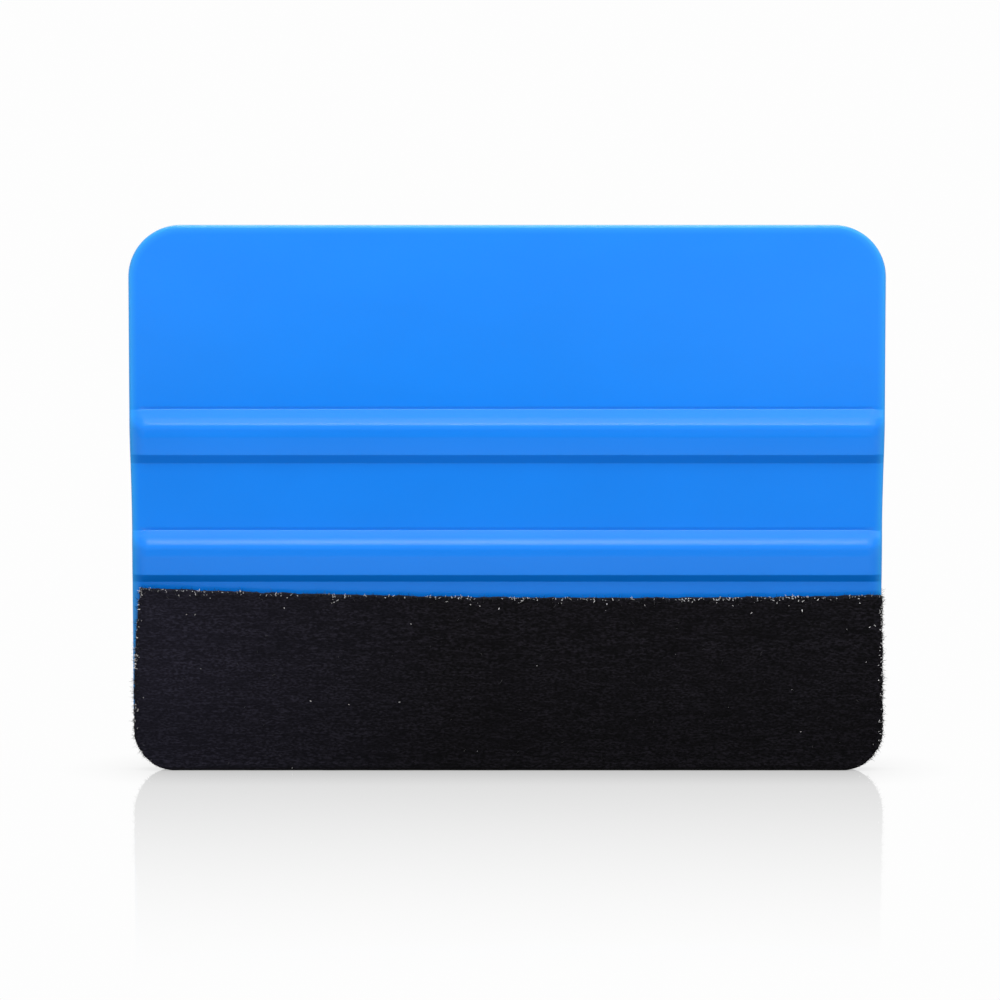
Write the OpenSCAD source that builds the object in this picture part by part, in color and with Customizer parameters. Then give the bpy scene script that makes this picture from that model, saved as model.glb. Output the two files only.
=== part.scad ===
// Vinyl squeegee card: a moulded plastic blade with two grip ribs across each
// face, and a strip of felt folded over its working edge on double-sided tape.
// The origin is the middle of the felt's working edge, on the surface that the
// card stands on. +X runs along that edge, -Y is the front and +Z points up.

/* [Card] */
// Length along the working edge
card_l = 100; // [90:1:140]
// Height from the lower long edge to the upper one
card_h = 71.8; // [66:0.2:90]
// Radius of the card's four corners
corner_r = 6.9; // [5:0.1:10]
// Thickness at the two long edges
edge_t = 1.2; // [0.8:0.1:1.8]
// Thickness of the flat web between the ribs
web_t = 2.6; // [2:0.1:4]
// How far each short side steps in from the upper half to the lower half
side_step = 0.25; // [0.05:0.05:0.5]

/* [Ribs] */
// Distance between the middles of the two ribs
rib_pitch = 15.9; // [12:0.1:18]
// Height of a rib's foot on the face
rib_w = 7.2; // [6:0.1:9]
// How far a rib stands out of the face
rib_out = 1.25; // [0.6:0.05:2]
// Height of the gentle slope on a rib's upper side
rib_top_run = 2.15; // [1.5:0.05:2.5]
// Height of the steep slope on a rib's under side
rib_under_run = 1.2; // [0.8:0.05:1.5]
// Height of the upright part of the crest, below the upper slope
crest_upright = 1.3; // [0.5:0.1:1.5]
// How far the lower part of the crest leans back towards the web
crest_lean = 0.15; // [0:0.05:0.3]

/* [Felt] */
// Thickness of the felt
felt_t = 1; // [0.5:0.1:1.2]
// Bare strip of the face between the felt and the lower rib
felt_gap = 1.7; // [0.5:0.1:8]
// How far the felt stops short of the card's short sides
felt_inset = 0.4; // [0.3:0.1:2]
// Radius of the felt's trimmed lower corners
felt_corner_r = 5.7; // [3:0.1:10]

/* [Tape] */
// Thickness of the double-sided tape
tape_t = 0.1; // [0.05:0.05:0.2]
// How far the tape stops short of the felt's cut edges
tape_inset = 0.3; // [0.1:0.1:1]

/* [Hidden] */

corner_steps = 10;
cut_depth = 20;

edge_half = edge_t / 2;
web_half = web_t / 2;
card_half_l = card_l / 2;
felt_half_l = card_half_l - felt_inset;

// The card's lower edge sits above the surface by one felt and one tape
card_z = felt_t + tape_t;
card_top_z = card_z + card_h;
middle_z = card_z + card_h / 2;
rib_z = [middle_z - rib_pitch / 2, middle_z + rib_pitch / 2];
lowest_root_z = rib_z[0] - rib_w / 2;
step_low_z = rib_z[0] + rib_w / 2;
step_high_z = rib_z[1] + rib_w / 2;
felt_h = lowest_root_z - felt_gap;

// Half the card's thickness at a height below the ribs
function blade_half(z) =
    edge_half + (web_half - edge_half) * (z - card_z) / (lowest_root_z - card_z);

// A rib's profile about the height z, as [out, up] points from its lower root
function rib_points(z) = [
    [web_half, z - rib_w / 2],
    [web_half + rib_out - crest_lean, z - rib_w / 2 + rib_under_run],
    [web_half + rib_out, z + rib_w / 2 - rib_top_run - crest_upright],
    [web_half + rib_out, z + rib_w / 2 - rib_top_run],
    [web_half, z + rib_w / 2]
];

// The same points on the other side of the upright axis, in reverse order
function mirrored(points) = [for (i = [len(points) - 1:-1:0]) [-points[i][0], points[i][1]]];

// A quarter circle of radius r about c, counterclockwise from the angle start
function quarter(c, r, start) = [
    for (i = [0:corner_steps])
        c + r * [cos(start + 90 * i / corner_steps), sin(start + 90 * i / corner_steps)]
];

// The right half of the card seen from the front, from the bottom to the top
card_right = concat(
    quarter([card_half_l - side_step - corner_r, card_z + corner_r], corner_r, -90),
    [[card_half_l - side_step, step_low_z], [card_half_l, step_high_z]],
    quarter([card_half_l - corner_r, card_top_z - corner_r], corner_r, 0)
);

// The right half of the card's section, from the lower edge to the upper one
section_right = concat(
    [[edge_half, card_z]],
    rib_points(rib_z[0]),
    rib_points(rib_z[1]),
    [[edge_half, card_top_z]]
);

// Extrudes a [y, z] shape along the card's length
module along_length() {
    rotate([90, 0, 90])
        linear_extrude(card_l + 1, center = true)
            children();
}

// Extrudes an [x, z] shape through the card's thickness
module through_thickness() {
    rotate([90, 0, 0])
        linear_extrude(cut_depth, center = true)
            children();
}

// A layer folded round the lower edge, between two distances from the card
module folded_layer(inner, outer) {
    right = [
        [edge_half + outer, card_z - outer],
        [edge_half + outer, card_z],
        [blade_half(felt_h) + outer, felt_h],
        [blade_half(felt_h) + inner, felt_h],
        [edge_half + inner, card_z],
        [edge_half + inner, card_z - inner]
    ];
    along_length()
        polygon(concat(right, mirrored(right)));
}

// The outline that a folded layer is trimmed to, drawn in from the felt's cut
// sides and upper edges by inset
module trim_outline(inset) {
    half_l = felt_half_l - inset;
    right = concat(
        quarter([half_l - felt_corner_r, felt_corner_r], felt_corner_r, -90),
        [[half_l, felt_h - inset]]
    );
    polygon(concat(right, mirrored(right)));
}

module blade_card() {
    color([0.13, 0.53, 0.96])
        intersection() {
            along_length()
                polygon(concat(section_right, mirrored(section_right)));
            through_thickness()
                polygon(concat(card_right, mirrored(card_right)));
        }
}

module adhesive_tape() {
    color([0.86, 0.86, 0.8])
        intersection() {
            folded_layer(0, tape_t);
            through_thickness()
                trim_outline(tape_inset);
        }
}

module felt_strip() {
    color([0.09, 0.09, 0.11])
        intersection() {
            folded_layer(tape_t, card_z);
            through_thickness()
                trim_outline(0);
        }
}

blade_card();
adhesive_tape();
felt_strip();
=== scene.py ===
"""The looks of the squeegee applicator: a ribbed plastic card and the felt folded over its edge.

Everything is worked out in millimetres in the CAD frame and turned into metres when a mesh is
made. +X runs along the working edge, -Y is the front and +Z points up.
"""

import math

import bpy
import numpy as np
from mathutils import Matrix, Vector, noise


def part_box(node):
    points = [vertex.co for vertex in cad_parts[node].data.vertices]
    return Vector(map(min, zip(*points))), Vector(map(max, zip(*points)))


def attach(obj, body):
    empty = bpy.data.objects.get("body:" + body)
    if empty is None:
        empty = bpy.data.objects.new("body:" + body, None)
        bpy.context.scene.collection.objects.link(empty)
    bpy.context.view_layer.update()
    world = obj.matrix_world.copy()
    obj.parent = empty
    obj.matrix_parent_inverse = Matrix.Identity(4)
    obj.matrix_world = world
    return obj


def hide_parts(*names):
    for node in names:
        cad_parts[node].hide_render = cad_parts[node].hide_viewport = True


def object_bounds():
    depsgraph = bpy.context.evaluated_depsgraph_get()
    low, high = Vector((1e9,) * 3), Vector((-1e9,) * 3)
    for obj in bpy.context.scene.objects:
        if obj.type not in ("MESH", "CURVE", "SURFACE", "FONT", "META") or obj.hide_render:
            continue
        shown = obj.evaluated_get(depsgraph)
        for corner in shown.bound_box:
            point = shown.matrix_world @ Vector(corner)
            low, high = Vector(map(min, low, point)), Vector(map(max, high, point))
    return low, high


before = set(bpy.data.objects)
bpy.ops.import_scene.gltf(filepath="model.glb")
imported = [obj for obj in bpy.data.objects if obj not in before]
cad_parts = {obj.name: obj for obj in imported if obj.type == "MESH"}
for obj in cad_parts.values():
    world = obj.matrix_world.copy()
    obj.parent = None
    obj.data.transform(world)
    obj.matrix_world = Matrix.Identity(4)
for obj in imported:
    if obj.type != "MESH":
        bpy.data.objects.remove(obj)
cad_low, cad_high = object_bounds()

MM = 0.001
BODY = "root"

# ---------------------------------------------------------------- sizes, in millimetres

# The card, beside what the CAD mesh already says about it
CARD_CORNER_R = 6.9
SIDE_STEP = 0.25
EDGE_ROUND = 0.33
RIB_END_ROUND = 0.35
# How the two ribs differ from the CAD's, the lower one first: their height, where they sit, how
# round the upper slope is, and how far the under arris and the shoulder lie from their places
RIB_STRETCH = (0.946, 0.995)
RIB_SHIFT = (-0.125, -0.01)
SLOPE_BULGE = (0.2, 0.05)
ARRIS_SHIFT = (-0.12, 0.06)
SHOULDER_SHIFT = (0.0, 0.1)
# The lower blade steps in a little below the lower rib, over this height and rounded so
BLADE_STEP = 0.3
BLADE_STEP_RUN = 2.2
BLADE_FILLET = 5.0
# How much further the lower part of a rib's crest leans back than in the CAD
CREST_LEAN = 0.09
# The upper blade is a little fuller than a straight taper
BLADE_SWELL = 0.13
# Fine groove that the mould leaves along the upper root of a rib
GROOVE_DEPTH = 0.12
GROOVE_WIDTH = 0.45
# The grooves start between these distances from the short sides
GROOVE_START = (1.2, 2.2)
# Fillets of one rib from its lower root up: root, under arris, crest, shoulder, middle of the
# slope, root, groove, lip
RIB_FILLETS = (0.25, 0.3, 5.0, 2.0, 6.0, 0.05, 0.02, 0.05)
# A rib runs down towards the face over this distance from a short side, to this share of it
RIB_END_RUN = 1.7
RIB_END_SHARE = 0.4

FELT_T = 1.0
FELT_CORNER_R = 5.7
TAPE_T = 0.1
TAPE_INSET = 0.3


def node_box_mm(node):
    """The lowest and highest corners of a CAD node, in millimetres."""
    low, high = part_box(node)
    return np.array(low) / MM, np.array(high) / MM


CARD_LOW, CARD_HIGH = node_box_mm("blade_card")
FELT_HIGH = node_box_mm("felt_strip")[1]


# ---------------------------------------------------------------- small helpers

def smoothstep(low, high, value):
    t = np.clip((value - low) / (high - low), 0.0, 1.0)
    return t * t * (3.0 - 2.0 * t)


def mesh_object(name, points_mm, faces):
    """A smooth-shaded object from points in millimetres."""
    mesh = bpy.data.meshes.new(name)
    mesh.from_pydata([tuple(p * MM) for p in np.asarray(points_mm, float)], [], faces)
    mesh.validate()
    mesh.update()
    mesh.polygons.foreach_set("use_smooth", [True] * len(mesh.polygons))
    piece = bpy.data.objects.new(name, mesh)
    bpy.context.scene.collection.objects.link(piece)
    return piece


FILLET_STEPS = 8
# A fillet takes at most this share of the side before or after its corner
FILLET_REACH = 0.48


def fillet(points, radii):
    """The polyline with its inner corners rounded, as a list of (x, y) points."""
    out = [points[0]]
    for before, corner, after, radius in zip(points, points[1:], points[2:], radii):
        corner = np.array(corner)
        back, ahead = np.array(before) - corner, np.array(after) - corner
        back_l, ahead_l = np.linalg.norm(back), np.linalg.norm(ahead)
        back, ahead = back / back_l, ahead / ahead_l
        half_turn = (math.pi - math.acos(np.clip(back @ ahead, -1, 1))) / 2
        cut = min(radius * math.tan(half_turn), FILLET_REACH * back_l, FILLET_REACH * ahead_l)
        for k in range(FILLET_STEPS + 1):
            t = k / FILLET_STEPS
            out.append(tuple(
                (1 - t) ** 2 * (corner + back * cut)
                + 2 * t * (1 - t) * corner
                + t ** 2 * (corner + ahead * cut)
            ))
    out.append(points[-1])
    return out


# ---------------------------------------------------------------- the card's section

# The section counts as straight where it turns by less than this
STRAIGHT_WITHIN = 0.01


def cad_section():
    """The card's half thickness at each height where its section turns, from the CAD mesh."""
    found = {}
    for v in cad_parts["blade_card"].data.vertices:
        found[round(v.co.z / MM, 3)] = round(abs(v.co.y) / MM, 3)
    line = sorted(found.items())
    kept = [line[0]]
    for k in range(1, len(line) - 1):
        (z0, t0), (z1, t1), (z2, t2) = kept[-1], line[k], line[k + 1]
        if abs((t1 - t0) * (z2 - z0) - (t2 - t0) * (z1 - z0)) > STRAIGHT_WITHIN * (z2 - z0):
            kept.append(line[k])
    return kept + [line[-1]]


TURNS = cad_section()
LOWER_RIB, UPPER_RIB = TURNS[1:6], TURNS[6:11]
WEB_HALF = LOWER_RIB[0][1]


def rib_line(which, turns, groove):
    """One rib's section from its five turning points in the CAD, with what the mould adds."""
    middle = (turns[0][0] + turns[-1][0]) / 2
    foot, arris, crest, shoulder, head = [
        (middle + (z - middle) * RIB_STRETCH[which] + RIB_SHIFT[which], t) for z, t in turns
    ]
    arris = (arris[0] + ARRIS_SHIFT[which], arris[1] - CREST_LEAN)
    shoulder = (shoulder[0] + SHOULDER_SHIFT[which], shoulder[1])
    half_way = ((shoulder[0] + head[0]) / 2, (shoulder[1] + head[1]) / 2 + SLOPE_BULGE[which])
    above = [(head[0] + GROOVE_WIDTH / 4, head[1] - groove), (head[0] + GROOVE_WIDTH, head[1])]
    return [foot, arris, crest, shoulder, half_way, head, *above]


def card_section(groove):
    """Heights and half thicknesses along the card's section, from its lower edge up."""
    ribs = [rib_line(0, LOWER_RIB, groove), rib_line(1, UPPER_RIB, groove)]
    foot = ribs[0][0]
    step = (foot[0] - BLADE_STEP_RUN, foot[1] - BLADE_STEP)
    line = [TURNS[0], step, *ribs[0], *ribs[1], TURNS[-1]]
    return np.transpose(fillet(line, (BLADE_FILLET, *RIB_FILLETS, *RIB_FILLETS)))


GROOVED = card_section(GROOVE_DEPTH)
SMOOTH = card_section(0)


def half_thickness(z, grooved=0.0):
    """Half the card's thickness at a height, with this share of the grooves' depth."""
    start, end = UPPER_RIB[-1][0], TURNS[-1][0]
    rise = np.clip((z - start) / (end - start), 0, 1)
    smooth = np.interp(z, *SMOOTH) + 4 * BLADE_SWELL * rise * (1 - rise)
    return smooth + grooved * (np.interp(z, *GROOVED) - np.interp(z, *SMOOTH))


# ---------------------------------------------------------------- closed sheets

def grid_faces(rows, columns, first, flip):
    faces = []
    for j in range(rows - 1):
        for i in range(columns - 1):
            a = first + j * columns + i
            quad = (a, a + 1, a + columns + 1, a + columns)
            faces.append(quad[::-1] if flip else quad)
    return faces


def border(rows, columns):
    """Places (row, column) round the edge of a grid, anticlockwise from its first point."""
    return ([(0, i) for i in range(columns - 1)]
            + [(j, columns - 1) for j in range(rows - 1)]
            + [(rows - 1, i) for i in range(columns - 1, 0, -1)]
            + [(j, 0) for j in range(rows - 1, 0, -1)])


def closed_sheet(name, outer, inner, rings):
    """A closed mesh from two grids of points and the rings of points between their borders."""
    rows, columns = outer.shape[:2]
    points = [*outer.reshape(-1, 3), *inner.reshape(-1, 3)]
    count = rows * columns
    faces = grid_faces(rows, columns, 0, False) + grid_faces(rows, columns, count, True)
    chain = [[j * columns + i for j, i in border(rows, columns)]]
    for ring in rings:
        chain.append(list(range(len(points), len(points) + len(ring))))
        points += list(ring)
    chain.append([k + count for k in chain[0]])
    for near, far in zip(chain, chain[1:]):
        for k in range(len(near)):
            m = (k + 1) % len(near)
            faces.append((near[m], near[k], far[k], far[m]))
    return mesh_object(name, points, faces)


def border_points(grid):
    return np.array([grid[j, i] for j, i in border(*grid.shape[:2])])


# ---------------------------------------------------------------- the card

# Distances in from the card's outline, fine where the edge rounds over
RIM_STEPS = (0, 0.02, 0.06, 0.12, 0.2, 0.28, 0.36, 0.5, 0.75, 1.1, 1.6, 2.1, 2.7, 3.3, 3.9,
             4.5, 5.1, 5.7, 6.3, CARD_CORNER_R)
CARD_COLUMNS = 46
# How far in from the outline the plastic is painted paler, as painted light for what shines through it
# at the rim
PAINTED_RIM_LIGHT_REACH = 1.1
PANEL_STEP = 1.2
# The short sides step in between these heights, the tops of the two ribs
STEP_LOW_Z, STEP_HIGH_Z = LOWER_RIB[-1][0], UPPER_RIB[-1][0]
# Where the rim's points lie between its two rounded edges, and how far each stands out there:
# the mould's parting line runs along the middle
RIM_ACROSS = ((0.75, 0.0), (0.25, 0.012), (0.09, 0.015), (0.0, 0.05),
              (-0.09, 0.015), (-0.25, 0.012), (-0.75, 0.0))


def side_inset(z):
    """How far the card's short sides lie inside its full half length at a height."""
    return SIDE_STEP * (1 - smoothstep(STEP_LOW_Z, STEP_HIGH_Z, z))


def with_rims(low, high, middle):
    """Stations from low to high: the rim's steps at both ends and the given ones between."""
    steps = list(RIM_STEPS)
    return np.array([low + s for s in steps] + list(middle) + [high - s for s in steps[::-1]])


def panel_stations():
    """Heights along the straight sides: every turn of the section, and some between."""
    low, high = CARD_LOW[2] + CARD_CORNER_R, CARD_HIGH[2] - CARD_CORNER_R
    turns = [low] + [z for z in GROOVED[0] if low < z < high] + [high]
    out = []
    for a, b in zip(turns, turns[1:]):
        parts = max(1, round((b - a) / PANEL_STEP))
        out += [a + (b - a) * k / parts for k in range(parts)]
    return out[1:]


def round_corners(across, up, radius):
    """Slides points, given by their distances from two sides, into a corner of this radius."""
    inset = np.minimum(across, up)
    reach = radius - inset
    share = (radius - np.maximum(across, up)) / np.maximum(reach, 1e-6)
    turn = math.radians(45) * share
    near, far = radius - reach * np.cos(turn), radius - reach * np.sin(turn)
    corner = np.maximum(across, up) < radius
    beside = across <= up
    across = np.where(corner, np.where(beside, near, far), across)
    up = np.where(corner, np.where(beside, far, near), up)
    return across, up


def card_plan():
    """Points over the card: x, z, and how far in from a short side and from the outline."""
    half = CARD_HIGH[0]
    straight = half - CARD_CORNER_R
    half_h = (CARD_HIGH[2] - CARD_LOW[2]) / 2
    middle_z = (CARD_LOW[2] + CARD_HIGH[2]) / 2
    x, z = np.meshgrid(
        with_rims(-half, half, np.linspace(-straight, straight, CARD_COLUMNS)[1:-1]),
        with_rims(CARD_LOW[2], CARD_HIGH[2], panel_stations()),
    )
    across, up = half - abs(x), half_h - abs(z - middle_z)
    inset = np.minimum(across, up)
    across, up = round_corners(across, up, CARD_CORNER_R)
    z = middle_z + np.sign(z - middle_z) * (half_h - up)
    x = np.sign(x) * (half - across - side_inset(z) * np.clip((half - across) / straight, 0, 1))
    return x, z, across, inset


def card_half_thickness(z, across, inset):
    """Half thickness at points of the card, with the ribs' ends run down and the edges round."""
    thick = half_thickness(z, smoothstep(*GROOVE_START, across))
    rib = np.maximum(thick - WEB_HALF, 0) * (1 - RIB_END_SHARE)
    thick = thick - rib * (1 - smoothstep(0, RIB_END_RUN, across))
    rounding = EDGE_ROUND + RIB_END_ROUND * np.clip(thick - WEB_HALF, 0, 1)
    gone = np.clip(1 - inset / rounding, 0, 1)
    return thick - rounding * (1 - np.sqrt(1 - gone ** 2))


def rim_rings(front):
    """The rim's points between the two faces, standing out a little at the parting line."""
    edge = border_points(front)
    tangent = np.roll(edge, -1, 0) - np.roll(edge, 1, 0)
    outward = np.stack([tangent[:, 2], 0 * tangent[:, 0], -tangent[:, 0]], 1)
    outward /= np.linalg.norm(outward, axis=1)[:, None]
    return [edge * (1, across, 1) + outward * proud for across, proud in RIM_ACROSS]


def build_card():
    """The card's mesh, with a value at each point that is 1 on the rim and at the outline and falls to
    0 a little way in, for the painted light at the rim.
    """
    x, z, across, inset = card_plan()
    front = np.stack([x, -card_half_thickness(z, across, inset), z], -1)
    piece = closed_sheet("ribbed_card", front, front * (1, -1, 1), rim_rings(front))
    thin = 1 - smoothstep(0, PAINTED_RIM_LIGHT_REACH, inset).ravel()
    values = np.ones(len(piece.data.vertices))
    values[:2 * len(thin)] = np.tile(thin, 2)
    piece.data.attributes.new("thin", "FLOAT", "POINT").data.foreach_set("value", values)
    return piece


# ---------------------------------------------------------------- folded felt and tape

# The fold is pressed flat where it meets the surface
FOLD_FLAT = TURNS[0][1] - EDGE_ROUND
FOLD_ARC_STEPS = 9
FELT_ROW = 0.25
FELT_COLUMNS = 236
# Distances in from the felt's cut edges, fine where its outer arris is soft
CUT_STEPS = (0, 0.05, 0.12, 0.22, 0.36, 0.55)
CUT_SOFT = 0.4
# The fold is squarer than a round one, and the face swells out above it
FOLD_SQUARE = 0.36
FELT_SWELL = 0.3
# Lumps on its faces: how high and how large they are and how much they are drawn out along x
FELT_LUMPS = ((0.035, 3.5, 1.0), (0.02, 0.8, 0.6))
# The lumps fade out below this height
LUMPS_FROM_Z = 1.5
# How far its cut edges wander, the sizes and seeds of those waves along the top edge, and how
# fast they fade out below it
RAGGED = 0.09
RAGGED_WAVES = ((0.7, 3), (2.6, 9))
RAGGED_FADE = 40
LEAF_FOOT_Z = CARD_LOW[2] + EDGE_ROUND
# The lowest felt lies this far above the surface
STANDS_AT = 0.02
# The strip was laid on by hand: its front edge dips in the middle and its ends lean
FELT_DIP = 0.42
FELT_DIP_X = 15.0
FELT_DIP_CURVE = 3.3e-4
FELT_LEFT, FELT_LEFT_LEAN = 49.7, 0.9
FELT_RIGHT, FELT_RIGHT_LEAN = 50.15, 0.35
CORNER_START = 38.0


# What brings the plain noise to between about -1 and 1
NOISE_GAIN = 1.6


def wander(x, z, scale, seed):
    """Smooth noise between about -1 and 1, with features of this size in millimetres."""
    points = np.broadcast_arrays(np.asarray(x, float), np.asarray(z, float))
    flat = [noise.noise(Vector((a / scale, b / scale, seed))) for a, b in
            zip(points[0].ravel(), points[1].ravel())]
    return np.array(flat).reshape(points[0].shape) * NOISE_GAIN


def felt_top(x, side):
    """Height of the strip's cut edge: what the front gains, the back loses."""
    drift = FELT_DIP_CURVE * (x - FELT_DIP_X) ** 2 - FELT_DIP
    return FELT_HIGH[2] - side * drift


def felt_end(x_sign, z):
    """How far the strip reaches to the left or right at a height, with its trimmed corner."""
    rise = np.clip(z / FELT_HIGH[2], 0, 1.1)
    left = FELT_LEFT - FELT_LEFT_LEAN * rise ** 3
    right = FELT_RIGHT - FELT_RIGHT_LEAN * rise
    below = np.clip(FELT_CORNER_R - z, 0, FELT_CORNER_R)
    trim = FELT_CORNER_R - np.sqrt(FELT_CORNER_R ** 2 - below ** 2)
    return np.where(x_sign < 0, left, right) - trim


def leaf_rows(inset):
    """How far up its leaf each row lies, from 0 at the foot to 1 at the cut edge."""
    height = FELT_HIGH[2] - LEAF_FOOT_Z
    low = np.arange(FELT_ROW, height - CUT_STEPS[-1] - FELT_ROW / 2, FELT_ROW)
    high = height - np.array(CUT_STEPS[::-1])
    return np.concatenate([low, high]) / height * (1 - inset / height)


def fold_path(inset):
    """Rows from the middle of the fold to the cut edge: base y, base z, normal y, z and rise."""
    rows = [(0, CARD_LOW[2], 0, -1, 0), (FOLD_FLAT / 2, CARD_LOW[2], 0, -1, 0)]
    for k in range(FOLD_ARC_STEPS + 1):
        turn = math.radians(90) * k / FOLD_ARC_STEPS
        out, down = math.sin(turn), math.cos(turn)
        rows.append((FOLD_FLAT + EDGE_ROUND * out, LEAF_FOOT_Z - EDGE_ROUND * down, out, -down, 0))
    rows += [(None, LEAF_FOOT_Z, 1, 0, rise) for rise in leaf_rows(inset)]
    return rows


def felt_columns():
    """Places across the strip from -1 to 1, closer together at its cut ends."""
    ends = np.array(CUT_STEPS) / FELT_LEFT
    middle = np.linspace(-1 + ends[-1], 1 - ends[-1], FELT_COLUMNS)[1:-1]
    return np.concatenate([-1 + ends, middle, 1 - ends[::-1]])


def fold_grid(offset, inset, ragged=0.0):
    """Grid of points on a layer round the card's lower edge, at an offset from its surface.

    It runs from the cut edge on the back, down round the fold and up to the one on the front.
    offset may be a grid; inset draws the layer in from the felt's cut edges.
    """
    path = fold_path(inset)
    rows = [(1, r) for r in path[:0:-1]] + [(-1, r) for r in path]
    u = felt_columns()
    x_plain = u * FELT_LEFT
    grid = np.zeros((len(rows), len(u), 3))
    offset = np.broadcast_to(offset, grid.shape[:2])
    for j, (side, (base_y, base_z, normal_y, normal_z, rise)) in enumerate(rows):
        frayed = ragged * sum(wander(x_plain, 0, size, seed + side) for size, seed in RAGGED_WAVES)
        top = felt_top(x_plain, side) + rise ** RAGGED_FADE * frayed
        z = base_z + rise * (top - LEAF_FOOT_Z)
        z = np.where(rise > 0, z, base_z) + normal_z * offset[j]
        y = (half_thickness(z) if base_y is None else base_y) + normal_y * offset[j]
        end = felt_end(u, z) - inset + ragged * wander(z, 40 * side, 0.7, 17)
        stretch = (end - CORNER_START) / (FELT_LEFT - CORNER_START)
        reach = np.where(abs(x_plain) > CORNER_START,
                         CORNER_START + (abs(x_plain) - CORNER_START) * stretch, abs(x_plain))
        grid[j] = np.stack([np.sign(u) * reach, side * y, z], -1)
    return grid


def fold_rows():
    """The rows of the whole strip, from the cut edge on the back to the one on the front."""
    path = fold_path(0)
    return np.array([(r[2], r[3], r[4]) for r in path[:0:-1] + path])


def cut_distance():
    """Distance of each of the grid's points from the nearest cut edge of the strip."""
    rise = fold_rows()[:, 2]
    to_top = (1 - rise) * (FELT_HIGH[2] - LEAF_FOOT_Z)
    to_end = (1 - abs(felt_columns())) * FELT_LEFT
    return np.minimum(to_top[:, None], to_end[None, :])


def build_tape():
    outer, inner = fold_grid(TAPE_T, TAPE_INSET), fold_grid(0.0, TAPE_INSET)
    return closed_sheet("adhesive_film", outer, inner, [])


def felt_surface():
    """The felt's outer points: lumpy faces, a squarish fold and soft arrises at the cut edges.

    Nothing goes down to the surface that the card stands on, or the two would flicker.
    """
    plain = fold_grid(TAPE_T + FELT_T, 0)
    around = plain[..., 2] * np.sign(plain[..., 1])
    lumps = sum(height * wander(plain[..., 0] * squeeze, around, size, seed)
                for seed, (height, size, squeeze) in enumerate(FELT_LUMPS, 1))
    gone = np.clip(1 - cut_distance() / CUT_SOFT, 0, 1)
    soft = CUT_SOFT * (1 - np.sqrt(1 - gone ** 2))
    bare = np.clip(plain[..., 2] / LUMPS_FROM_Z, 0, 1)
    normal_y, normal_z, rise = fold_rows().T
    full = FOLD_SQUARE * (2 * normal_y * normal_z) ** 2 + FELT_SWELL * smoothstep(0, 0.35, rise)
    outer = fold_grid(TAPE_T + FELT_T + full[:, None] + lumps * bare - soft, 0, RAGGED)
    outer[..., 2] = np.maximum(outer[..., 2], STANDS_AT)
    return outer


def build_felt(outer):
    inner = fold_grid(TAPE_T, 0, RAGGED)
    cut_outer, cut_inner = border_points(outer), border_points(inner)
    rings = [cut_outer + (cut_inner - cut_outer) * t for t in (0.33, 0.67)]
    return closed_sheet("felt_wrap", outer, inner, rings)


# ---------------------------------------------------------------- loose fibres

FIBRE_SEED = 7
FIBRE_SIDES = 3
FIBRE_JOINTS = 4
FIBRES = 6500
# A hair thins towards its tip by this share, and its root strays this far from the surface
FIBRE_TAPER = 0.65
ROOT_STRAY = 0.05
# How fast the hairs thin out away from a cut edge, and how many stay on the faces beside that
FIBRE_SPREAD = 0.35
FACE_CHANCE = 0.008
# How much a hair leans past the strip's edges, out of its face and at random, and how it curls
LEAN_PAST, LEAN_OUT, LEAN_RANDOM = 0.6, 0.3, 0.75
FIBRE_CURL = 0.55
# Hairs lean towards the strip's ends beyond this distance from its middle
LEAN_FROM_X = 40
# Hairs below the first height bend up from the surface, and no root is lower than the second
BENT_UP_BELOW, LOWEST_ROOT = 1.2, 0.09
# These shares of the hairs near the cut edges and on the faces are short, thick, pale lint
LINT_SHARES = (0.4, 0.09)
# The lint lies in patches of this size, which fade in between these levels of noise
LINT_PATCH, LINT_PATCH_SEED = 4, 23
LINT_PATCH_EDGE = (-0.1, 0.5)
LINT_LENGTH, HAIR_LENGTH = (0.12, 0.3), (0.2, 0.55)
LINT_RADIUS, HAIR_RADIUS = (0.045, 0.085), (0.016, 0.034)
LINT_SHADE, HAIR_SHADE = (0.5, 1.0), (0.0, 0.5)


def fibre_mesh(name, roots, directions, lengths, radii, curls, shades):
    """Tapered, curved three-sided hairs as one mesh, each with its own shade of grey."""
    count = len(roots)
    side = np.cross(directions, curls)
    side /= np.linalg.norm(side, axis=1)[:, None] + 1e-9
    other = np.cross(directions, side)
    points = np.zeros((count, FIBRE_JOINTS, FIBRE_SIDES, 3))
    for j in range(FIBRE_JOINTS):
        t = j / (FIBRE_JOINTS - 1)
        centre = roots + (directions * t + curls * t * t) * lengths[:, None]
        thick = radii * (1 - FIBRE_TAPER * t)
        for k in range(FIBRE_SIDES):
            turn = 2 * math.pi * k / FIBRE_SIDES
            ring = side * math.cos(turn) + other * math.sin(turn)
            points[:, j, k] = centre + ring * thick[:, None]
    faces = []
    for n in range(count):
        base = n * FIBRE_JOINTS * FIBRE_SIDES
        for j in range(FIBRE_JOINTS - 1):
            for k in range(FIBRE_SIDES):
                a, b = base + j * FIBRE_SIDES + k, base + j * FIBRE_SIDES + (k + 1) % FIBRE_SIDES
                faces.append((a, b, b + FIBRE_SIDES, a + FIBRE_SIDES))
        last = base + (FIBRE_JOINTS - 1) * FIBRE_SIDES
        faces.append((last, last + 1, last + 2))
        faces.append((base + 2, base + 1, base))
    piece = mesh_object(name, points.reshape(-1, 3), faces)
    shade = piece.data.attributes.new("shade", "FLOAT", "POINT")
    shade.data.foreach_set("value", np.repeat(shades, FIBRE_JOINTS * FIBRE_SIDES))
    return piece


def random_directions(rng, count):
    spread = rng.normal(size=(count, 3))
    return spread / np.linalg.norm(spread, axis=1)[:, None]


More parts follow.
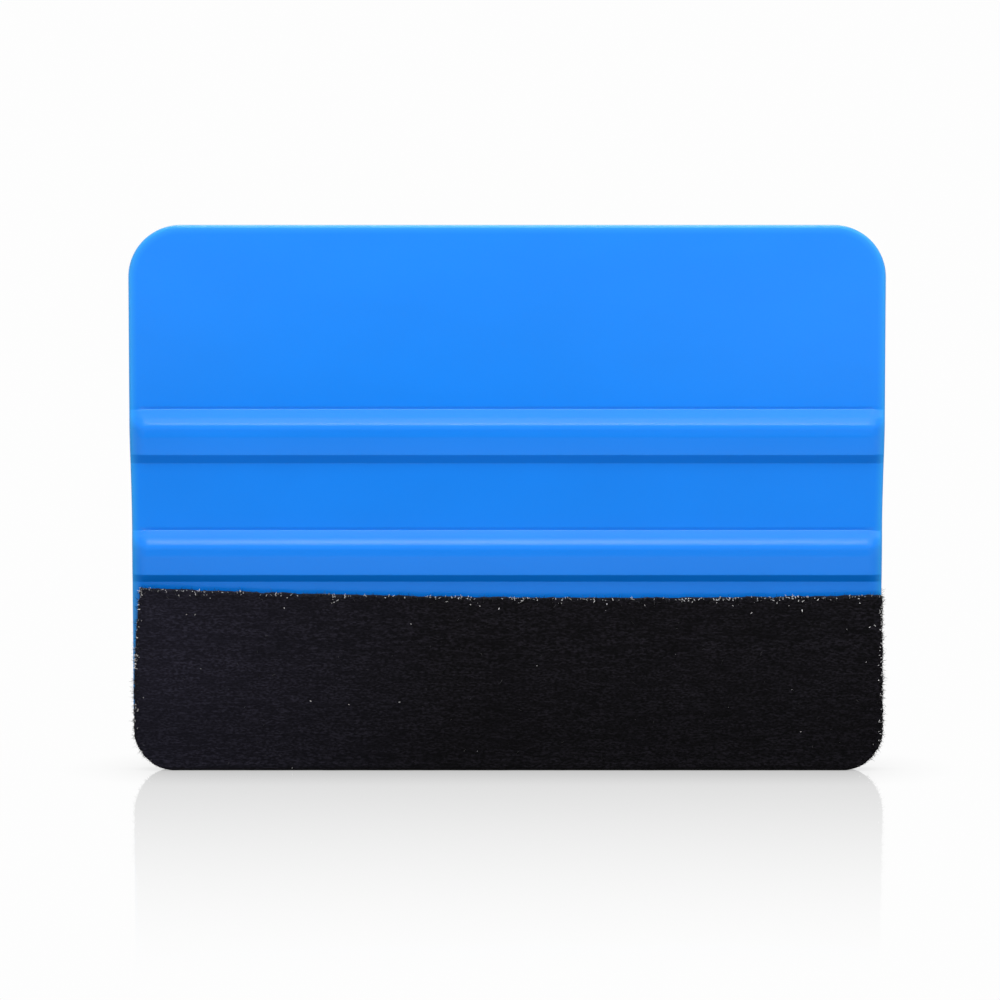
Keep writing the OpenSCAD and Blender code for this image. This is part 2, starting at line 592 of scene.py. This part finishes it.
def fibre_lean(roots, near_cut):
    """Which way hairs lean for where they grow: past the cut edges and out of the faces."""
    outward = np.sign(roots[:, 1])[:, None] * np.array([0, 1, 0])
    past = roots - (0, 0, FELT_HIGH[2] / 2)
    beyond = past[:, 0] - LEAN_FROM_X * np.sign(past[:, 0])
    past[:, 0] = np.where(abs(past[:, 0]) > LEAN_FROM_X, beyond, 0)
    past /= np.linalg.norm(past, axis=1)[:, None]
    return past * LEAN_PAST * near_cut[:, None] + outward * LEAN_OUT


def build_fibres(surface):
    """Hairs that stand out of the felt: thick along its cut edges, sparse on its faces."""
    rng = np.random.default_rng(FIBRE_SEED)
    distance = cut_distance().ravel()
    chance = np.exp(-distance / FIBRE_SPREAD) + FACE_CHANCE
    at = rng.choice(len(distance), FIBRES, p=chance / chance.sum())
    roots = surface.reshape(-1, 3)[at] + rng.normal(size=(FIBRES, 3)) * ROOT_STRAY
    near_cut = np.exp(-distance[at])
    directions = fibre_lean(roots, near_cut) + random_directions(rng, FIBRES) * LEAN_RANDOM
    directions /= np.linalg.norm(directions, axis=1)[:, None]
    curls = random_directions(rng, FIBRES) * FIBRE_CURL
    low = roots[:, 2] < BENT_UP_BELOW
    directions[low, 2] = abs(directions[low, 2])
    curls[low, 2] = abs(curls[low, 2])
    roots[:, 2] = np.maximum(roots[:, 2], LOWEST_ROOT)

    patches = wander(roots[:, 0], roots[:, 2], LINT_PATCH, LINT_PATCH_SEED)
    patches = smoothstep(*LINT_PATCH_EDGE, patches)
    lint = rng.uniform(size=FIBRES) < LINT_SHARES[1] + LINT_SHARES[0] * patches * near_cut
    lengths = np.where(lint, rng.uniform(*LINT_LENGTH, FIBRES), rng.uniform(*HAIR_LENGTH, FIBRES))
    radii = np.where(lint, rng.uniform(*LINT_RADIUS, FIBRES), rng.uniform(*HAIR_RADIUS, FIBRES))
    shades = np.where(lint, rng.uniform(*LINT_SHADE, FIBRES), rng.uniform(*HAIR_SHADE, FIBRES) ** 3)
    return fibre_mesh("felt_fibres", roots, directions, lengths, radii, curls, shades)


# ---------------------------------------------------------------- materials

def material(name, base, roughness):
    """A new material's node tree and its shader, with plain values set."""
    made = bpy.data.materials.new(name)
    made.use_nodes = True
    tree = made.node_tree
    shader = tree.nodes["Principled BSDF"]
    shader.inputs["Base Color"].default_value = (*base, 1)
    shader.inputs["Roughness"].default_value = roughness
    return made, tree, shader


def node(tree, kind, inputs=(), **settings):
    """A new node with its settings and inputs; an input is a value or another node's output."""
    made = tree.nodes.new(kind)
    for key, value in settings.items():
        setattr(made, key, value)
    for key, value in dict(inputs).items():
        if isinstance(value, bpy.types.NodeSocket):
            tree.links.new(value, made.inputs[key])
        else:
            made.inputs[key].default_value = value
    return made


def scaled_noise(tree, size_mm, stretch=(1, 1, 1), detail=2.0):
    """Noise in object space whose features have about this size in millimetres."""
    place = node(tree, "ShaderNodeTexCoord").outputs["Object"]
    scale = tuple(1 / (size_mm * MM * s) for s in stretch)
    spread = node(tree, "ShaderNodeMapping", {"Vector": place, "Scale": scale})
    return node(tree, "ShaderNodeTexNoise", {
        "Vector": spread.outputs[0], "Scale": 1.0, "Detail": detail,
    }).outputs["Fac"]


def calculate(tree, operation, *values):
    return node(tree, "ShaderNodeMath", dict(enumerate(values)), operation=operation).outputs[0]


def remap(tree, value, from_low, from_high, to_low, to_high):
    return node(tree, "ShaderNodeMapRange", {
        "Value": value, "From Min": from_low, "From Max": from_high,
        "To Min": to_low, "To Max": to_high,
    }).outputs[0]


def blend_colors(tree, factor, first, second):
    mix = node(tree, "ShaderNodeMix", {0: factor}, data_type="RGBA")
    for slot, color in ((6, first), (7, second)):
        if isinstance(color, bpy.types.NodeSocket):
            tree.links.new(color, mix.inputs[slot])
        else:
            mix.inputs[slot].default_value = (*color, 1)
    return mix.outputs[2]


def bump(tree, height, depth_mm, strength, after=None):
    inputs = {"Height": height, "Distance": depth_mm * MM, "Strength": strength}
    if after is not None:
        inputs["Normal"] = after
    return node(tree, "ShaderNodeBump", inputs).outputs[0]


CARD_BLUE = (0.003, 0.2, 0.785)
# Painted light: the paler blue near the rim stands in for light that shines through the plastic there
CARD_BLUE_PAINTED_RIM_LIGHT = (0.02, 0.28, 0.72)
# How dark the faint clouds in the plastic are beside the rest of it
CARD_CLOUD_SHADE = 0.965
CARD_ROUGHNESS = (0.19, 0.27)
# Sizes of the clouds, of the face's slight waves and of the mould's grain, in millimetres
CARD_CLOUD, CARD_WAVE, CARD_GRAIN = 9, 2.6, 0.16


def card_material():
    """Blue polypropylene with a fine spark-eroded grain, painted paler near the rim as painted light
    for what shines through the plastic there.
    """
    made, tree, shader = material("blue_polypropylene", CARD_BLUE, CARD_ROUGHNESS[1])
    cloud = remap(tree, scaled_noise(tree, CARD_CLOUD, (2, 1, 1)), 0.35, 0.65, 0.0, 1.0)
    deep = tuple(c * CARD_CLOUD_SHADE for c in CARD_BLUE)
    body = blend_colors(tree, cloud, deep, CARD_BLUE)
    thin = node(tree, "ShaderNodeAttribute", attribute_name="thin").outputs["Fac"]
    # Painted light: the colour turns to the paler blue towards the rim
    tree.links.new(blend_colors(tree, thin, body, CARD_BLUE_PAINTED_RIM_LIGHT), shader.inputs["Base Color"])
    grain = scaled_noise(tree, CARD_GRAIN, detail=3)
    tree.links.new(remap(tree, grain, 0.3, 0.7, *CARD_ROUGHNESS), shader.inputs["Roughness"])
    shader.inputs["Specular IOR Level"].default_value = 0.27
    wave = bump(tree, scaled_noise(tree, CARD_WAVE), 0.03, 0.15)
    tree.links.new(bump(tree, grain, 0.006, 0.35, wave), shader.inputs["Normal"])
    return made


FELT_BLACK = (0.0008, 0.0007, 0.0012)
FELT_GREY = (0.0125, 0.011, 0.0155)
LINT = (0.85, 0.84, 0.84)
# Painted sheen: towards the left end the felt's colours are lightened to these, for the light it
# catches there
PAINTED_SHEEN_BLACK = (0.0055, 0.0052, 0.0095)
PAINTED_SHEEN_GREY = (0.0225, 0.021, 0.034)
PAINTED_SHEEN_FROM, PAINTED_SHEEN_TO = -8.0, -46.0
# Sizes of the fuzz, the short streaks, the rows of needling and the clouds, in millimetres
FELT_FUZZ, FELT_STREAK, FELT_NEEDLING, FELT_CLOUD = 0.13, 0.2, 0.42, 6


def felt_material():
    """Brushed near-black needle felt: short streaks along the strip and a soft bloom, with a painted
    sheen that lightens it towards its left end.
    """
    made, tree, shader = material("black_needle_felt", FELT_BLACK, 1.0)
    streak = scaled_noise(tree, FELT_STREAK, (2.4, 1, 1), detail=3)
    rows = scaled_noise(tree, FELT_NEEDLING, (7, 1, 1))
    cloud = scaled_noise(tree, FELT_CLOUD, (2, 1, 1))
    place = node(tree, "ShaderNodeTexCoord").outputs["Object"]
    along = node(tree, "ShaderNodeSeparateXYZ", {0: place}).outputs["X"]
    # Painted sheen: the felt's colours lighten from the middle towards its left end
    painted_sheen = remap(tree, along, PAINTED_SHEEN_FROM * MM, PAINTED_SHEEN_TO * MM, 0, 1)
    black = blend_colors(tree, painted_sheen, FELT_BLACK, PAINTED_SHEEN_BLACK)
    grey = blend_colors(tree, painted_sheen, FELT_GREY, PAINTED_SHEEN_GREY)
    shade = blend_colors(tree, remap(tree, streak, 0.4, 0.68, 0, 1), black, grey)
    shade = blend_colors(tree, remap(tree, rows, 0.4, 0.56, 0.6, 0), shade, black)
    shade = blend_colors(tree, remap(tree, cloud, 0.3, 0.6, 0.3, 0), shade, black)
    tree.links.new(shade, shader.inputs["Base Color"])
    shader.inputs["Specular IOR Level"].default_value = 0.08
    shader.inputs["Sheen Weight"].default_value = 0.03
    shader.inputs["Sheen Roughness"].default_value = 0.6
    fuzz = bump(tree, scaled_noise(tree, FELT_FUZZ, detail=3), 0.05, 0.6)
    tree.links.new(bump(tree, streak, 0.12, 0.7, fuzz), shader.inputs["Normal"])
    return made


def fibre_material():
    made, tree, shader = material("felt_fibre", FELT_GREY, 0.9)
    shade = node(tree, "ShaderNodeAttribute", attribute_name="shade").outputs["Fac"]
    tree.links.new(blend_colors(tree, shade, FELT_BLACK, LINT), shader.inputs["Base Color"])
    shader.inputs["Specular IOR Level"].default_value = 0.15
    return made


TAPE_DARK = (0.66, 0.65, 0.55)
TAPE_PALE = (0.78, 0.78, 0.7)


def tape_material():
    """A thin milky adhesive, a little uneven."""
    made, tree, shader = material("adhesive_tape", TAPE_PALE, 0.5)
    tone = blend_colors(tree, scaled_noise(tree, 3), TAPE_DARK, TAPE_PALE)
    tree.links.new(tone, shader.inputs["Base Color"])
    tree.links.new(bump(tree, scaled_noise(tree, 0.4), 0.01, 0.4), shader.inputs["Normal"])
    return made


# ---------------------------------------------------------------- floor, light and camera

# The floor's size and the distances from here on are in metres
FLOOR_RADIUS = 1.6
FLOOR_SIDES = 96
BACKDROP = 0.985
# What the floor gives as light at distances in front of and behind the object
FLOOR_LIGHT = ((0.0, 0.1), (0.04, 0.5), (0.08, 1.35), (0.11, 1.4), (0.14, 0.8), (0.18, 0.15),
               (0.22, 0.0))
FLOOR_LIGHT_MAX = 2.0
# The far floor lights up between these distances, but not in front of the middle, where the
# camera stands: its level at the sides, then the gap's place and its inner and outer edge
FAR_FLOOR = (0.3, 0.5)
FAR_LEVEL = 2.0
FAR_GAP_X = -0.02
FAR_GAP = (0.01, 0.1)
# The floor's own gloss, which fades away in front of and behind the object
FLOOR_GLOSS = 0.285
FLOOR_FADE = 0.135
FLOOR_FADE_POWER = 1.8
# How far and how dark the soft shade beside the object is
CONTACT_REACH = 0.011
CONTACT_SHADE = 0.35


def floor_light(tree, along, away):
    """The floor's level as a light, at a distance in front of or behind the object."""
    reach = FLOOR_LIGHT[-1][0]
    ramp = node(tree, "ShaderNodeValToRGB", {0: remap(tree, away, 0, reach, 0, 1)})
    stops = ramp.color_ramp.elements
    while len(stops) < len(FLOOR_LIGHT):
        stops.new(1)
    for stop, (distance, level) in zip(stops, FLOOR_LIGHT):
        stop.position = distance / reach
        stop.color = (level / FLOOR_LIGHT_MAX,) * 3 + (1,)
    near = calculate(tree, "MULTIPLY", ramp.outputs[0], FLOOR_LIGHT_MAX)
    from_gap = calculate(tree, "ABSOLUTE", calculate(tree, "SUBTRACT", along, FAR_GAP_X))
    level = remap(tree, from_gap, *FAR_GAP, 0, FAR_LEVEL)
    return calculate(tree, "ADD", near, remap(tree, away, *FAR_FLOOR, 0, level))


def floor_material():
    """Evenly lit, with a soft shade at the contact and a gloss that fades away."""
    made, tree, shader = material("pale_floor", (1, 1, 1), 0.9)
    tree.nodes.remove(shader)
    place = node(tree, "ShaderNodeTexCoord").outputs["Object"]
    parts = node(tree, "ShaderNodeSeparateXYZ", {0: place}).outputs
    away = calculate(tree, "ABSOLUTE", parts["Y"])
    seen_by_camera = node(tree, "ShaderNodeLightPath").outputs["Is Camera Ray"]

    contact = node(tree, "ShaderNodeAmbientOcclusion", {"Distance": CONTACT_REACH}).outputs["AO"]
    seen = remap(tree, contact, 0, 1, BACKDROP * (1 - CONTACT_SHADE), BACKDROP)
    level = node(tree, "ShaderNodeMix", {
        0: seen_by_camera, 2: floor_light(tree, parts["X"], away), 3: seen,
    })
    glow = node(tree, "ShaderNodeEmission", {"Strength": level.outputs[0]})

    near = remap(tree, away, 0, FLOOR_FADE, 1, 0)
    fade = calculate(tree, "POWER", near, FLOOR_FADE_POWER)
    share = calculate(tree, "MULTIPLY", calculate(tree, "MULTIPLY", fade, FLOOR_GLOSS), seen_by_camera)
    gloss = node(tree, "ShaderNodeBsdfGlossy", {"Color": (1, 1, 1, 1), "Roughness": 0.03})
    mix = node(tree, "ShaderNodeMixShader", {0: share, 1: glow.outputs[0], 2: gloss.outputs[0]})
    tree.links.new(mix.outputs[0], tree.nodes["Material Output"].inputs["Surface"])
    return made


def build_floor():
    turns = np.linspace(0, 2 * math.pi, FLOOR_SIDES + 1)[:-1]
    radius = FLOOR_RADIUS / MM
    points = [(radius * math.cos(a), radius * math.sin(a), 0) for a in turns]
    floor = mesh_object("floor", points, [tuple(range(FLOOR_SIDES))])
    floor.data.materials.append(floor_material())


# The white surroundings as a light
AMBIENT = 0.78


def build_world():
    """White behind and around for the camera and in the gloss, a little dimmer as a light."""
    world = bpy.data.worlds.new("studio")
    world.use_nodes = True
    bpy.context.scene.world = world
    tree = world.node_tree
    ray = node(tree, "ShaderNodeLightPath").outputs
    level = node(tree, "ShaderNodeMix", {0: ray["Is Diffuse Ray"], 2: BACKDROP, 3: AMBIENT})
    tree.links.new(level.outputs[0], tree.nodes["Background"].inputs["Strength"])
    tree.nodes["Background"].inputs["Color"].default_value = (1, 1, 1, 1)


# Soft lights: name, azimuth from the front towards +X and elevation in degrees, then a sun's
# strength and how wide it looks in degrees, or a box's distance, width and height in metres
# and its power in watts
SUNS = (
    ("overhead", 0, 85, 0.9, 20),
    ("back_key", 180, 42, 0.9, 30),
)
BOXES = (
    ("strip_top", 0, 60, 0.22, 0.5, 0.085, 0.225),
    ("box_sheen", 0, 52, 0.38, 0.17, 0.06, 0.06),
    ("box_front", 0, 41, 0.38, 0.17, 0.07, 0.31),
    ("box_right_low", 35, 30, 0.4, 0.16, 0.16, 0.11),
    ("box_right_high", 35, 50, 0.4, 0.16, 0.16, 0.075),
)
# Lights that shade the card and leave no highlight on it
NO_HIGHLIGHT = ("strip_top",)


def place_light(name, data, azimuth, elevation, distance):
    """Puts a light in this direction from the middle of the object, aimed at it."""
    lamp = bpy.data.objects.new(name, data)
    a, e = math.radians(azimuth), math.radians(elevation)
    towards = Vector((math.sin(a) * math.cos(e), -math.cos(a) * math.cos(e), math.sin(e)))
    lamp.location = (Vector(cad_low) + Vector(cad_high)) / 2 + towards * distance
    lamp.rotation_euler = towards.to_track_quat("Z", "Y").to_euler()
    bpy.context.scene.collection.objects.link(lamp)
    return lamp


def build_lights():
    for name, azimuth, elevation, strength, angle in SUNS:
        data = bpy.data.lights.new(name, "SUN")
        data.energy = strength
        data.angle = math.radians(angle)
        place_light(name, data, azimuth, elevation, 1)
    for name, azimuth, elevation, distance, width, height, power in BOXES:
        data = bpy.data.lights.new(name, "AREA")
        data.shape = "RECTANGLE"
        data.energy = power
        data.size = width
        data.size_y = height
        lamp = place_light(name, data, azimuth, elevation, distance)
        lamp.visible_glossy = name not in NO_HIGHLIGHT


# The camera looks from the front, this many degrees above level and this far away in metres
CAMERA_ELEVATION = 8.27
CAMERA_DISTANCE = 0.9
CAMERA_LENS = 244.1
# Where it aims, from the middle of the object
CAMERA_AIM = (-0.94 * MM, 0, -0.18 * MM)


def build_camera():
    data = bpy.data.cameras.new("camera")
    data.lens = CAMERA_LENS
    data.sensor_width = 36
    data.clip_end = 20
    camera = bpy.data.objects.new("camera", data)
    middle = (Vector(cad_low) + Vector(cad_high)) / 2
    e = math.radians(CAMERA_ELEVATION)
    towards = Vector((0, -math.cos(e), math.sin(e)))
    camera.location = middle + Vector(CAMERA_AIM) + towards * CAMERA_DISTANCE
    camera.rotation_euler = towards.to_track_quat("Z", "Y").to_euler()
    bpy.context.scene.collection.objects.link(camera)
    bpy.context.scene.camera = camera
    bpy.context.scene.view_settings.view_transform = "Standard"


# ---------------------------------------------------------------- assembly

build_camera()
build_world()
build_floor()
build_lights()

card = build_card()
card.data.materials.append(card_material())
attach(card, BODY)
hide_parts("blade_card")

tape = build_tape()
tape.data.materials.append(tape_material())
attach(tape, BODY)
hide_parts("adhesive_tape")

surface = felt_surface()
felt = build_felt(surface)
felt.data.materials.append(felt_material())
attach(felt, BODY)
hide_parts("felt_strip")

fibres = build_fibres(surface)
fibres.data.materials.append(fibre_material())
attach(fibres, BODY)
